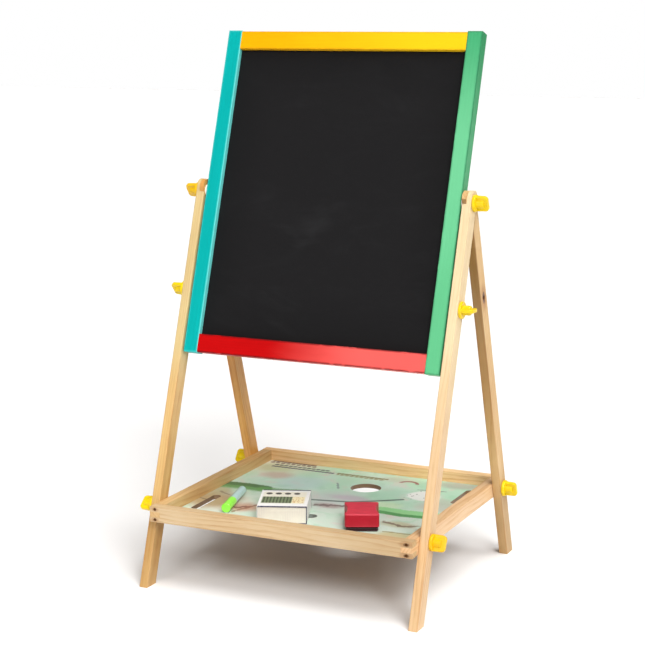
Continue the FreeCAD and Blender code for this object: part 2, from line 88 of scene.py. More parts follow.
def lying(turn, *names):
    """Frame of a thing lying in the tray: turned about Z, its origin in the middle of its foot."""
    corners = [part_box(name) for name in names]
    low = Vector(min(c[0][i] for c in corners) for i in range(3))
    high = Vector(max(c[1][i] for c in corners) for i in range(3))
    return Place((0, 0, turn), ((low.x + high.x) / 2, (low.y + high.y) / 2, low.z))


def turn_of(slide):
    """Turn about Z that brings +Y onto this slide's direction."""
    way = JOINTS[slide]["axis"]
    return math.atan2(-way[0], way[1])


UPRIGHT = Place()
ON_BOARD = Place((LEAN_FRONT, 0, 0), PIVOT)
ON_BOARD_CROSS = Place((LEAN_FRONT, 0, 0), PIVOT, "YZX")
ON_REAR_LEG = Place((LEAN_REAR, 0, 0), PIVOT)
ALONG_X = Place(order="YZX")
ALONG_Y = Place(order="ZXY")
IN_CHALK_BOX = lying(turn_of("chalk_drawer_slide"), "chalk_sleeve")
ON_ERASER = lying(ERASER_TURN, "eraser_body", "eraser_felt")
ON_MARKER = lying(turn_of("marker_cap_pull"), "marker_barrel", "marker_cap")


# ---- node graphs ---------------------------------------------------------------------------------
class Graph:
    """One material's nodes, with short ways to add them."""

    def __init__(self, name, **shader):
        self.material = bpy.data.materials.new(name)
        self.material.use_nodes = True
        self.tree = self.material.node_tree
        self.tree.nodes.clear()
        self.shader = self.add("ShaderNodeBsdfPrincipled")
        out = self.add("ShaderNodeOutputMaterial")
        self.tree.links.new(self.shader.outputs[0], out.inputs[0])
        for key, value in shader.items():
            self.set(key.replace("_", " "), value)

    def put(self, socket, value):
        if isinstance(value, bpy.types.NodeSocket):
            self.tree.links.new(value, socket)
        else:
            socket.default_value = value

    def set(self, name, value):
        self.put(self.shader.inputs[name], value)

    def add(self, kind, inputs=None, **props):
        node = self.tree.nodes.new(kind)
        for key, value in props.items():
            setattr(node, key, value)
        for key, value in (inputs or {}).items():
            self.put(node.inputs[key], value)
        return node

    def at(self, place):
        """Coordinates in the piece's own frame in metres, the grain along the third one."""
        spot = self.add("ShaderNodeTexCoord").outputs["Object"]
        mapped = self.add("ShaderNodeMapping", {"Vector": spot, "Location": place.origin,
                                                "Rotation": place.turn}, vector_type="TEXTURE")
        if place.order == "XYZ":
            return mapped.outputs[0]
        parts = self.split(mapped.outputs[0])
        return self.join(*[parts["XYZ".index(axis)] for axis in place.order])

    def split(self, vector):
        return self.add("ShaderNodeSeparateXYZ", {0: vector}).outputs[:]

    def join(self, x, y, z=0.0):
        return self.add("ShaderNodeCombineXYZ", {0: x, 1: y, 2: z}).outputs[0]

    def scale(self, vector, factors, shift=(0, 0, 0)):
        return self.add("ShaderNodeMapping", {"Vector": vector, "Scale": factors,
                                              "Location": shift}).outputs[0]

    def math(self, op, a, b=0.0, clamp=False):
        return self.add("ShaderNodeMath", {0: a, 1: b}, operation=op, use_clamp=clamp).outputs[0]

    def plus(self, a, b):
        return self.math("ADD", a, b)

    def minus(self, a, b):
        return self.math("SUBTRACT", a, b)

    def times(self, a, b):
        return self.math("MULTIPLY", a, b)

    def step(self, value, low, high, out_low=0.0, out_high=1.0):
        """Smooth rise of the value between low and high."""
        return self.add("ShaderNodeMapRange", {"Value": value, "From Min": low, "From Max": high,
                                               "To Min": out_low, "To Max": out_high},
                        interpolation_type="SMOOTHSTEP").outputs[0]

    def noise(self, vector, scale, detail=2.0, rough=0.5, warp=0.0):
        return self.add("ShaderNodeTexNoise", {"Vector": vector, "Scale": scale, "Detail": detail,
                                               "Roughness": rough, "Distortion": warp}).outputs[0]

    def vector(self, op, a, b=(0, 0, 0), output="Vector"):
        return self.add("ShaderNodeVectorMath", {0: a, 1: b}, operation=op).outputs[output]

    def flat(self, p):
        """The first two coordinates in millimetres, the third 0."""
        return self.scale(p, (1000, 1000, 0))

    def to_line(self, p, *points):
        """Distance from p to a run of straight lines through these points, both in millimetres."""
        nearest = None
        for start, end in zip(points, points[1:]):
            a, run = Vector((*start, 0)), Vector((*end, 0)) - Vector((*start, 0))
            off = self.vector("SUBTRACT", p, tuple(a))
            along = self.math("MULTIPLY", self.vector("DOT_PRODUCT", off, tuple(run), "Value"),
                              1 / run.length_squared, clamp=True)
            foot = self.add("ShaderNodeVectorMath", {0: tuple(run), "Scale": along},
                            operation="SCALE")
            gap = self.vector("DISTANCE", off, foot.outputs[0], "Value")
            nearest = gap if nearest is None else self.math("MINIMUM", nearest, gap)
        return nearest

    def to_spot(self, p, spot):
        return self.vector("DISTANCE", p, (*spot, 0), "Value")

    def inside(self, gap, radius, soft=0.5):
        """1 where a distance is under this radius."""
        return self.step(gap, radius - soft, radius + soft, 1.0, 0.0)

    def within(self, value, low, high, soft):
        """1 where low < value < high."""
        return self.times(self.step(value, low - soft, low + soft),
                          self.step(value, high - soft, high + soft, 1.0, 0.0))

    def wave(self, value, period):
        """0 to 1 to 0 over each period."""
        return self.math("PINGPONG", self.times(value, 2 / period), 1.0)

    def ramp(self, factor, *stops):
        """Stops are (place, grey or colour)."""
        node = self.add("ShaderNodeValToRGB", {0: factor})
        marks = node.color_ramp.elements
        while len(marks) < len(stops):
            marks.new(0.5)
        for mark, (spot, colour) in zip(marks, stops):
            mark.position = spot
            mark.color = rgb(colour)
        return node.outputs[0]

    def mix(self, factor, a, b, blend="MIX"):
        return self.add("ShaderNodeMix", {0: factor, 6: rgb(a), 7: rgb(b)}, data_type="RGBA",
                        blend_type=blend).outputs[2]

    def bump(self, *layers):
        """Each layer is (height from 0 to 1, depth in metres). They are stacked."""
        normal = None
        for height, depth in layers:
            node = self.add("ShaderNodeBump", {"Height": height, "Distance": depth,
                                               "Strength": 1.0})
            if normal is not None:
                self.put(node.inputs["Normal"], normal)
            normal = node.outputs[0]
        self.set("Normal", normal)

    def edges(self, p, box, width):
        """1 on the edges of a box, fading to 0 at that distance from them."""
        gaps = []
        for value, low, high in zip(self.split(p), *box):
            gaps.append(self.math("MINIMUM", self.minus(value, low), self.minus(high, value)))
        a, b, c = gaps
        middle = self.math("MAXIMUM", self.math("MINIMUM", a, b),
                           self.math("MINIMUM", self.math("MAXIMUM", a, b), c))
        return self.step(middle, 0.0, width, 1.0, 0.0)


def rgb(colour):
    """What a colour socket takes, from a linear grey, an sRGB hex string, a tuple or a socket."""
    if isinstance(colour, (bpy.types.NodeSocket, tuple)):
        return colour
    if isinstance(colour, (int, float)):
        return (colour, colour, colour, 1.0)
    parts = [int(colour[i:i + 2], 16) / 255 for i in (0, 2, 4)]
    linear = [c / 12.92 if c <= 0.04045 else ((c + 0.055) / 1.055) ** 2.4 for c in parts]
    return (*linear, 1.0)


def dress(graph, *nodes):
    """Gives CAD nodes this material."""
    for node in nodes:
        data = NODES[node].data
        data.materials.clear()
        data.materials.append(graph.material)


# ---- wood ----------------------------------------------------------------------------------------
RING_SPACING = 0.0046
RING_WOBBLE = 0.03
PITH = (0.05, 0.034)      # centre of the rings, across the grain, where a piece gives no other
PINE_TONES = ((0.0, "f0cf9c"), (0.35, "e5bd85"), (0.7, "d3a266"), (1.0, "b57f43"))
PINE_EDGE = 0.0022        # lacquered edges are darker this far in
PAINT_EDGE = 0.003        # painted edges are worn this far in
FACE_SKIN = 0.0011        # a tone on one face goes this deep
FACE_SOFT = 0.0004


def wood_layers(g, p, seed, pith=PITH):
    """Growth rings, fibres and broad tone of a stick that runs along the third axis."""
    x, y = g.split(p)[:2]
    slow = g.scale(p, (1, 1, 0.16), (seed * 3.1, seed * 1.7, seed))
    wobble = g.minus(g.noise(slow, 17, 3, 0.45), 0.5)
    dx = g.minus(x, pith[0])
    dy = g.minus(y, pith[1])
    radius = g.math("SQRT", g.plus(g.times(dx, dx), g.times(dy, dy)))
    phase = g.times(g.plus(radius, g.times(wobble, RING_WOBBLE)), 1 / RING_SPACING)
    rings = g.ramp(g.math("FRACT", phase), (0.0, 0.0), (0.45, 0.15), (0.86, 1.0), (0.95, 0.75),
                   (1.0, 0.0))
    strength = g.step(g.noise(g.scale(p, (1, 1, 0.3), (seed, seed, 0)), 60, 2), 0.3, 0.7, 0.25, 1.0)
    rings = g.times(rings, strength)
    fibres = g.noise(g.scale(p, (1, 1, 0.02), (seed, 0, seed)), 1000, 4, 0.65)
    broad = g.noise(g.scale(p, (1, 1, 0.25), (0, seed, seed * 2)), 30, 3)
    return rings, fibres, broad


def toned(g, p, colour, box, tones):
    """Drifts to other tones along the grain: (ink, strength, start, stop, face).

    The drift grows from start to stop. With start None it is the same all along. A face is
    (axis, 0 for its low or 1 for its high side), and None is all of them.
    """
    parts = g.split(p)
    for ink, strength, start, stop, face in tones:
        amount = strength
        if start is not None:
            amount = g.step(parts[2], start, stop, 0.0, strength)
        if face is not None:
            axis, end = face
            gap = g.math("ABSOLUTE", g.minus(parts[axis], box[end][axis]))
            amount = g.times(g.inside(gap, FACE_SKIN, FACE_SOFT), amount)
        colour = g.mix(amount, colour, ink)
    return colour


def pine(name, place, seed, nodes, knots=(), pith=PITH, tint=(1, 1, 1, 1), tones=()):
    """Clear-lacquered wood: rings, fibres, pores, darker edges, and knots as (middle, size). Its
    tint and tones are in part painted light and shade.
    """
    g = Graph(name, Coat_Weight=0.16, Coat_Roughness=0.34, IOR=1.45)
    p = g.at(place)
    rings, fibres, broad = wood_layers(g, p, seed, pith=pith)
    tone = g.plus(g.times(rings, 0.34), g.plus(g.times(g.minus(fibres, 0.5), 0.6),
                                               g.times(g.minus(broad, 0.5), 0.9)))
    colour = g.ramp(g.plus(tone, 0.3), *PINE_TONES)
    pores = g.step(g.noise(g.scale(p, (1, 1, 0.03), (seed, 4, 0)), 1700, 1), 0.62, 0.72)
    colour = g.mix(g.times(pores, 0.25), colour, "ad6c32")
    for spot, size in knots:
        off = g.scale(g.vector("SUBTRACT", p, spot), (1, 1, 0.5))
        gap = g.vector("LENGTH", off, output="Value")
        gap = g.plus(gap, g.times(g.minus(g.noise(p, 260, 2), 0.5), size * 0.5))
        colour = g.mix(g.step(gap, size * 2.4, size, 0.0, 0.55), colour, "b3743c")
        colour = g.mix(g.step(gap, size, size * 0.6, 0.0, 0.9), colour, "5d3216")
    box = place.box(*nodes)
    rim = g.times(g.edges(p, box, PINE_EDGE), g.noise(g.scale(p, (1, 1, 0.25)), 320, 2))
    colour = g.mix(g.times(rim, 0.5), colour, "bf8246")
    colour = g.mix(1.0, colour, tint, "MULTIPLY")
    g.set("Base Color", toned(g, p, colour, box, tones))
    g.set("Roughness", g.plus(g.times(rings, 0.08), g.plus(0.36, g.times(fibres, 0.22))))
    g.bump((fibres, 0.00012), (rings, 0.00006))
    dress(g, *nodes)


def painted(name, place, seed, colour_low, colour_high, node, worn, tones=()):
    """Painted pine rail: the grain shows through a little, edges worn to this (ink, strength). The
    tones given to it are painted sheen, highlight and shade.
    """
    g = Graph(name, Coat_Weight=0.03, Coat_Roughness=0.25, Specular_IOR_Level=0.08)
    p = g.at(place)
    rings, fibres, broad = wood_layers(g, p, seed)
    speck = g.noise(p, 900, 2, 0.6)
    tone = g.plus(g.times(broad, 0.7), g.plus(g.times(rings, 0.16), g.times(speck, 0.3)))
    colour = g.mix(tone, colour_low, colour_high)
    box = place.box(node)
    drift = g.join(0.0, 0.0, g.times(g.minus(broad, 0.5), 0.06))
    colour = toned(g, g.vector("ADD", p, drift), colour, box, tones)
    patches = g.noise(g.scale(p, (1, 1, 0.3), (seed, 0, 0)), 240, 3)
    rub = g.times(g.edges(p, box, PAINT_EDGE), g.step(patches, 0.28, 0.52))
    ink, strength = worn
    colour = g.mix(g.times(rub, strength), colour, ink)
    g.set("Base Color", colour)
    g.set("Roughness", g.plus(0.3, g.plus(g.times(fibres, 0.14), g.times(rub, 0.25))))
    peel = g.noise(p, 420, 2)
    g.bump((fibres, 0.00006), (rings, 0.00003), (peel, 0.00005))
    dress(g, node)


SPARE_HOLE = (0.198, 0.0, -0.1337)      # in the right rear leg; the wood round it is browned
# front left leg: its tint, darker and warmer than the right leg's, is painted shade; it turns paler
# towards the top, and painted shade of the tray darkens its foot
pine("pine_front_leg_left", ON_BOARD, 1.3, ["front_leg_left"],
     knots=[((-0.198, 0.002, 0.010), 0.0036)], tint=(0.80, 0.78, 0.64, 1),
     tones=[("ccc99a", 0.36, -0.29, -0.20, None), ("8c5a26", 0.28, -0.40, -0.47, None)])
# front right leg: its tint, paler and cooler than the left leg's, is painted light; it turns paler
# towards the top
pine("pine_front_leg_right", ON_BOARD, 4.7, ["front_leg_right"], pith=(0.26, -0.05),
     tint=(0.84, 0.86, 0.98, 1), tones=[("efe6bc", 0.4, -0.34, -0.16, None)])
# rear left leg: its deep orange tint and the darker brown of its upper part are painted shade
pine("pine_rear_leg_left", ON_REAR_LEG, 7.9, ["rear_leg_left"], pith=(-0.13, 0.06),
     knots=[((-0.195, 0.011, -0.21), 0.003)], tint=(1.0, 0.79, 0.40, 1),
     tones=[("8a4a1c", 0.35, -0.36, -0.26, None)])
# rear right leg: the dark brown on its downward-facing front face and the darker lower end are
# painted shade
pine("pine_rear_leg_right", ON_REAR_LEG, 11.2, ["rear_leg_right"], pith=(0.24, 0.07),
     knots=[(SPARE_HOLE, 0.0052)], tint=(0.80, 0.80, 0.74, 1),
     tones=[("7a5016", 0.72, -0.46, -0.10, (1, 0)), ("7a5220", 0.36, -0.38, -0.45, None)])


NAIL_FROM_END = 0.0075
NAIL_FROM_EDGE = 0.0035
STAIN_LEFT = 0.0016
STAIN_RIGHT = 0.0026


def nail_stains(node):
    """Rust-brown spots round the nails at the ends of a tray rail, in its grain order."""
    low, high = ALONG_X.box(node)
    left, right = low[2] + NAIL_FROM_END, high[2] - NAIL_FROM_END
    spots = []
    for end, size in ((left, STAIN_LEFT), (right, STAIN_RIGHT)):
        for height in (low[1] + NAIL_FROM_EDGE, high[1] - NAIL_FROM_EDGE):
            spots.append(((low[0], height, end), size))
    return spots


pine("pine_tray_rail_front", ALONG_X, 2.4, ["tray_rail_front"], pith=(-0.20, 0.05),
     knots=nail_stains("tray_rail_front"), tint=(0.77, 0.86, 1.05, 1),
     tones=[("9c7c50", 0.25, 0.0, 0.12, None)])
# rear tray rail: its tint, above one, is painted light that lifts the rail out of the board's
# shadow
pine("pine_tray_rail_rear", ALONG_X, 5.9, ["tray_rail_rear"], pith=(0.2, 0.06),
     knots=[((0.170, 0.100, -0.09), 0.0028)], tint=(1.2, 1.25, 1.38, 1))
pine("pine_tray_rail_left", ALONG_Y, 8.6, ["tray_rail_left"], pith=(0.06, -0.22),
     tint=(0.78, 0.77, 0.72, 1))
pine("pine_tray_rail_right", ALONG_Y, 9.7, ["tray_rail_right"], pith=(0.06, 0.21),
     tint=(0.92, 0.93, 1.08, 1))

# teal rail: the paler inner face is a painted highlight
painted("paint_teal", ON_BOARD, 3.0, "00908e", "04aca8", "board_rail_left", ("54c8c4", 0.5),
        tones=[("8ce6e0", 0.5, None, None, (0, 1))])
# yellow rail: paler towards the right end, a painted sheen
painted("paint_yellow", ON_BOARD_CROSS, 6.0, "e09600", "eeb004", "board_rail_top", ("a87410", 0.5),
        tones=[("f2d61c", 0.5, -0.16, 0.17, None)])
# green rail: the pale band on its lower part is painted sheen, easing back towards the bottom, and
# its darker outer side is painted shade
painted("paint_green", ON_BOARD, 9.0, "1f8450", "48ac76", "board_rail_right", ("2a6e4a", 0.6),
        tones=[("88dca8", 0.46, 0.26, 0.06, None), ("3fa068", 0.35, 0.04, -0.14, None),
               ("1c7446", 0.55, None, None, (0, 1))])
# red rail: paler pink towards the right end, a painted sheen
painted("paint_red", ON_BOARD_CROSS, 12.0, "a00204", "c4070a", "board_rail_bottom",
        ("5c080c", 0.85), tones=[("f26862", 0.75, -0.07, 0.08, None)])


# ---- writing sheets ------------------------------------------------------------------------------
def blackboard():
    """Matt slate paint with the ghost of wiped chalk, darker towards its rim."""
    g = Graph("blackboard", Specular_IOR_Level=0.12)
    p = g.at(ON_BOARD)
    wipes = g.noise(g.scale(p, (1, 1, 3.2)), 7, 5, 0.6, 1.4)
    clouds = g.noise(g.scale(p, (1.3, 1, 1)), 5, 3)
    dust = g.times(g.step(wipes, 0.45, 0.8), g.step(clouds, 0.35, 0.7))
    grit = g.noise(p, 2600, 2, 0.7)
    rough_coat = g.noise(p, 700, 3, 0.7)
    colour = g.mix(g.times(dust, 0.035), "111113", "8f9294")
    colour = g.mix(g.times(grit, 0.3), colour, "242425")
    colour = g.mix(g.times(g.step(rough_coat, 0.45, 0.65), 0.35), colour, "1f1b1a")
    low, high = ON_BOARD.box("blackboard_panel")
    middle = [(a + b) / 2 for a, b in zip(low, high)]
    off = g.vector("DIVIDE", g.vector("SUBTRACT", p, tuple(middle)),
                   tuple((b - a) / 2 for a, b in zip(low, high)))
    x, _, z = g.split(off)
    rim = g.math("MAXIMUM", g.math("ABSOLUTE", x), g.math("ABSOLUTE", z))
    colour = g.mix(g.step(rim, 0.55, 1.0, 0.0, 0.45), colour, "0b0b0c")
    g.set("Base Color", colour)
    g.set("Roughness", g.plus(0.62, g.times(g.plus(grit, dust), 0.14)))
    g.bump((grit, 0.00006), (g.noise(p, 60, 2), 0.00008))
    dress(g, "blackboard_panel")


def whiteboard():
    """Glossy dry-wipe laminate with faint wiped strokes."""
    g = Graph("whiteboard", Coat_Weight=0.6, Coat_Roughness=0.08)
    p = g.at(ON_BOARD)
    strokes = g.step(g.noise(g.scale(p, (1, 1, 4.5)), 9, 4, 0.6, 1.2), 0.55, 0.8)
    colour = g.mix(g.times(strokes, 0.22), "d9dcdd", "b4c3d2")
    g.set("Base Color", colour)
    g.set("Roughness", g.plus(0.16, g.times(strokes, 0.2)))
    g.bump((g.noise(p, 90, 2), 0.00005))
    dress(g, "whiteboard_panel")


blackboard()
whiteboard()


# ---- plastics and metals -------------------------------------------------------------------------
def plastic(name, place, low, high, rough, node_names, **shader):
    """Moulded plastic: cloudy between two tones, fine-grained and a little scuffed."""
    g = Graph(name, **shader)
    p = g.at(place)
    cloud = g.noise(p, 120, 3)
    grain = g.noise(p, FINE_GRAIN, 2, 0.6)
    scuff = g.step(g.noise(g.scale(p, (1, 0.2, 1)), 700, 3), 0.6, 0.8)
    g.set("Base Color", g.mix(cloud, low, high))
    g.set("Roughness", g.plus(rough, g.plus(g.times(scuff, 0.14), g.times(grain, 0.08))))
    g.bump((grain, 0.00004), (g.noise(p, 300, 2), 0.00006))
    dress(g, *node_names)


GRIP_SHEEN = (0.0016, 0.0003)      # the painted sheen on top fades in between these depths below it
GRIP_RIM = 0.0024


def eraser_grip():
    """Moulded grip: fine lines across it, rubbed paler along the rims, and a painted sheen on top.
    """
    g = Graph("eraser_red", Specular_IOR_Level=0.35, Coat_Weight=0.15, Coat_Roughness=0.3)
    p = g.at(ON_ERASER)
    low, high = ON_ERASER.box("eraser_body")
    cloud = g.noise(p, 110, 3)
    lines = g.noise(g.scale(p, (0.12, 1, 1)), 520, 3, 0.6)
    grain = g.noise(p, FINE_GRAIN, 2, 0.6)
    colour = g.mix(g.plus(g.times(cloud, 0.5), g.times(lines, 0.5)), "9c041a", "c01030")
    # painted sheen: the top face is paler, most along the fine lines
    on_top = g.step(g.split(p)[2], high[2] - GRIP_SHEEN[0], high[2] - GRIP_SHEEN[1])
    colour = g.mix(g.times(on_top, g.step(lines, 0.35, 0.7, 0.25, 0.6)), colour, "e4485c")
    rim = g.edges(p, (low, high), GRIP_RIM)
    colour = g.mix(g.times(rim, g.step(grain, 0.4, 0.7, 0.1, 0.5)), colour, "d84c5e")
    g.set("Base Color", colour)
    g.set("Roughness", g.plus(0.34, g.plus(g.times(lines, 0.16), g.times(grain, 0.08))))
    g.bump((lines, 0.00016), (grain, 0.00005))
    dress(g, "eraser_body")


def metal(name, low, high, rough, node_names):
    """Plain metal: cloudy between two tones, with fine lines in it."""
    g = Graph(name, Metallic=1.0)
    p = g.at(UPRIGHT)
    cloud = g.noise(p, 500, 3)
    g.set("Base Color", g.mix(cloud, low, high))
    g.set("Roughness", g.plus(rough, g.times(g.noise(p, 1500, 2), 0.25)))
    g.bump((g.noise(g.scale(p, (8, 1, 1)), 600, 2), 0.00004))
    dress(g, *node_names)


def named(*words):
    """CAD nodes with any of these words in their names."""
    return sorted(n for n in NODES if any(w in n for w in words))


# the left pivot knob's deeper yellow is painted shade; the right front tray knob is simply a deeper
# yellow
DEEPER_AND_SHADED_KNOBS = ("tray_front_knob_right", "pivot_knob_left")
for shade, low, high, knobs in (
        ("knob_yellow", "dab600", "eed20a", [n for n in named("knob") if n not in DEEPER_AND_SHADED_KNOBS]),
        ("knob_deep_yellow", "d6a800", "eabe06", DEEPER_AND_SHADED_KNOBS)):
    plastic(shade, UPRIGHT, low, high, 0.3, knobs, Specular_IOR_Level=0.3, Coat_Weight=0.2,
            Coat_Roughness=0.2)
plastic("washer_nylon", UPRIGHT, "e6e4dc", "f4f2ec", 0.4, named("washer"))
eraser_grip()
plastic("marker_mint", ON_MARKER, "acd2cf", "c8e4e2", 0.28, ["marker_barrel"], Coat_Weight=0.4)
plastic("marker_lime", ON_MARKER, "84ec38", "a6ff58", 0.28, ["marker_cap"], Coat_Weight=0.4)
plastic("marker_nib", ON_MARKER, "1b1b1d", "2c2c30", 0.9, ["marker_nib"])
metal("steel", "b8b9ba", "d9dadb", 0.25, named("stud"))
metal("nail_steel", "5a3a22", "7a5638", 0.55, ["tray_nails"])
metal("brass", "c79c3f", "e2bd62", 0.28, named("inserts"))
pine("beech", UPRIGHT, 3.3, ["board_dowels"])


# ---- chalk box -----------------------------------------------------------------------------------
def card(g, p, low, high):
    """Coated card: faint pulp clouds and a fine tooth. Returns its colour."""
    pulp = g.noise(p, 180, 4, 0.6)
    tooth = g.noise(p, FINE_GRAIN, 2, 0.6)
    g.set("Roughness", g.plus(0.42, g.plus(g.times(pulp, 0.14), g.times(tooth, 0.1))))
    g.bump((tooth, 0.00003), (pulp, 0.00005))
    return g.mix(pulp, low, high)


CARD_SKIN = (0.0005, 0.0002)      # the print on top fades in between these depths below it
CARD_EDGE = 0.0006

# print on the sleeve, in millimetres from its middle, as (left, right) or (front, back)
BAND, BAND_DEPTH = (-29, 28), (-24, 29)
LEAVES, SPECKS, ROWS_DEPTH = (-29, 11), (11, 27), (-22, 7)
LEAF_SPACING = 4.4
OVALS, OVALS_AT = (-27, 22), 21.5
OVAL_SPACING = 12.3
OVAL_SHIFT = 21.6
OVAL_RADIUS = 4.2
END_LINE = 3.0
LEFT_SIDE = (-31.8, -31.4)      # the end lines fade out between these
DRAWER_RIB = 3.075


def chalk_sleeve():
    """White sleeve: a dark line at both ends, not on its left side, and a plain pattern on top."""
    g = Graph("card_sleeve")
    p = g.at(IN_CHALK_BOX)
    low, high = IN_CHALK_BOX.box("chalk_sleeve")
    flat = g.flat(p)
    x, y = g.split(flat)[:2]
    colour = card(g, p, "dcdddb", "ecece8")
    blot = g.noise(flat, 0.35, 3, 0.6)
    on_top = g.step(g.split(p)[2], high[2] - CARD_SKIN[0], high[2] - CARD_SKIN[1])

    # on a pale band: a block of leaf green streaks, a field of orange specks, and four dark ovals
    band = g.times(g.times(g.within(x, *BAND, 1.5), g.within(y, *BAND_DEPTH, 1.5)), on_top)
    colour = g.mix(g.times(band, 0.5), colour, "ddd6b4")
    rows = g.within(y, *ROWS_DEPTH, 0.8)
    veins = g.plus(g.times(g.wave(x, LEAF_SPACING), 0.55), g.times(blot, 0.6))
    streaks = g.ramp(veins, (0.25, "26301f"), (0.8, "7d8c6a"))
    colour = g.mix(g.times(g.times(g.within(x, *LEAVES, 0.8), rows), on_top), colour, streaks)
    field = g.times(g.times(g.within(x, *SPECKS, 0.8), rows), on_top)
    colour = g.mix(field, colour, "e6dbb0")
    dots = g.add("ShaderNodeTexVoronoi", {"Vector": flat, "Scale": 0.34, "Randomness": 0.8})
    specks = g.inside(dots.outputs["Distance"], 0.34, 0.08)
    colour = g.mix(g.times(g.times(specks, field), 0.85), colour, "b0702c")
    across = g.times(g.wave(g.plus(x, OVAL_SHIFT), OVAL_SPACING), OVAL_SPACING / 2)
    oval = g.vector("LENGTH", g.join(across, g.times(g.minus(y, OVALS_AT), 0.9)), output="Value")
    oval = g.times(g.inside(oval, OVAL_RADIUS, 0.6), g.times(g.within(x, *OVALS, 0.5), on_top))
    colour = g.mix(g.times(oval, 0.9), colour, "2a2624")
    ends = g.math("MAXIMUM", g.inside(g.minus(y, low[1] * 1000), END_LINE, 0.3),
                  g.inside(g.minus(high[1] * 1000, y), END_LINE, 0.3))
    colour = g.mix(g.times(ends, g.step(x, *LEFT_SIDE)), colour, "23224a")
    worn = g.times(g.edges(p, (low, high), CARD_EDGE), g.step(g.noise(p, 500, 2), 0.45, 0.65))
    g.set("Base Color", g.mix(g.times(worn, 0.6), colour, "f4f2ec"))
    dress(g, "chalk_sleeve")


def chalk_drawer():
    """Plain white drawer with faint ribs."""
    g = Graph("card_drawer")
    p = g.at(IN_CHALK_BOX)
    x = g.split(g.flat(p))[0]
    colour = card(g, p, "e2d8ca", "eee6da")
    ribs = g.times(g.wave(x, DRAWER_RIB), g.step(g.noise(p, 45, 2), 0.4, 0.65))
    g.set("Base Color", g.mix(g.times(ribs, 0.3), colour, "cfc6c2"))
    dress(g, "chalk_drawer")


def chalk_sticks():
    """Dusty chalk: cloudy white with crumbled pits."""
    g = Graph("chalk")
    p = g.at(IN_CHALK_BOX)
    dust = g.noise(p, 260, 4, 0.65)
    pits = g.step(g.noise(p, 1300, 3, 0.7), 0.58, 0.7)
    g.set("Base Color", g.mix(g.times(pits, 0.4), g.mix(dust, "ecebe4", "fdfcf9"), "c9c6bc"))
    g.set("Roughness", g.plus(0.84, g.times(dust, 0.12)))
    g.bump((pits, -0.0001), (dust, 0.00012))
    dress(g, "chalk_sticks")


chalk_sleeve()
chalk_drawer()
chalk_sticks()


# ---- eraser felt ---------------------------------------------------------------------------------
FELT_CORNER = 0.0036
FELT_ROWS = 16           # rows of faces up the side
FELT_PINCH = 0.0008      # the side draws in this much at the two faces and at the bond
FELT_FUZZ = 0.00016      # the outline is rough by about this much
FUZZ_SCALE = 1400
FELT_BOND = (0.0030, 0.0035)
FELT_DUST = 0.003        # chalk dust reaches this far up
LEAST_CORNER = 0.0004


def rounded_ring(half_x, half_y, radius, per_corner=8, per_side=28):
    """Points round a rectangle with rounded corners, the same number on every ring."""
    corners = []
    for sx, sy, start in ((1, -1, -90), (1, 1, 0), (-1, 1, 90), (-1, -1, 180)):
        middle = Vector((sx * (half_x - radius), sy * (half_y - radius)))
        turns = [math.radians(start + 90 * i / per_corner) for i in range(per_corner + 1)]
        corners.append([middle + radius * Vector((math.cos(a), math.sin(a))) for a in turns])
    ring = []
    for corner, following in zip(corners, corners[1:] + corners[:1]):
        ring += corner + [corner[-1].lerp(following[0], i / per_side) for i in range(1, per_side)]
    return ring


def felt_pad():
    """Two bonded layers of thick felt with soft edges and a fuzzy outline."""
    low, high = ON_ERASER.box("eraser_felt")
    half_x, half_y, height = (high[0] - low[0]) / 2, (high[1] - low[1]) / 2, high[2] - low[2]
    side = []
    for i in range(FELT_ROWS + 1):
        t = i / FELT_ROWS
        pinch = abs(math.cos(math.pi * t * 2)) ** 3 * FELT_PINCH
        side.append((FELT_FUZZ + pinch, low[2] + height * t))
    # rings on the two flat faces, as insets from the outline
    flat = [half_x * t for t in (0.97, 0.8, 0.6, 0.4, 0.25, 0.12, 0.05)]
    profile = [(t, low[2]) for t in flat] + side + [(t, high[2]) for t in reversed(flat)]
    form = bmesh.new()
    rings = []
    for inset, z in profile:
        hx, hy = half_x - inset, half_y - inset
        ring = rounded_ring(hx, hy, min(max(FELT_CORNER - inset, LEAST_CORNER), hx * 0.9))
        rings.append([form.verts.new((q.x, q.y, z)) for q in ring])
    for a, b in zip(rings, rings[1:]):
        for i, start in enumerate(a):
            j = (i + 1) % len(a)
            form.faces.new((start, a[j], b[j], b[i]))
    form.faces.new(list(reversed(rings[0])))
    form.faces.new(rings[-1])
    for vertex in form.verts:
        fuzz = noise.noise(vertex.co * FUZZ_SCALE) * FELT_FUZZ
        vertex.co += Vector((vertex.co.x / half_x, vertex.co.y / half_y, 0)) * fuzz
    bmesh.ops.recalc_face_normals(form, faces=form.faces)
    form.transform(ON_ERASER.matrix)
    mesh = bpy.data.meshes.new("felt_pad")
    form.to_mesh(mesh)
    form.free()
    mesh.polygons.foreach_set("use_smooth", [True] * len(mesh.polygons))
    pad = bpy.data.objects.new("felt_pad", mesh)
    bpy.context.scene.collection.objects.link(pad)
    return pad


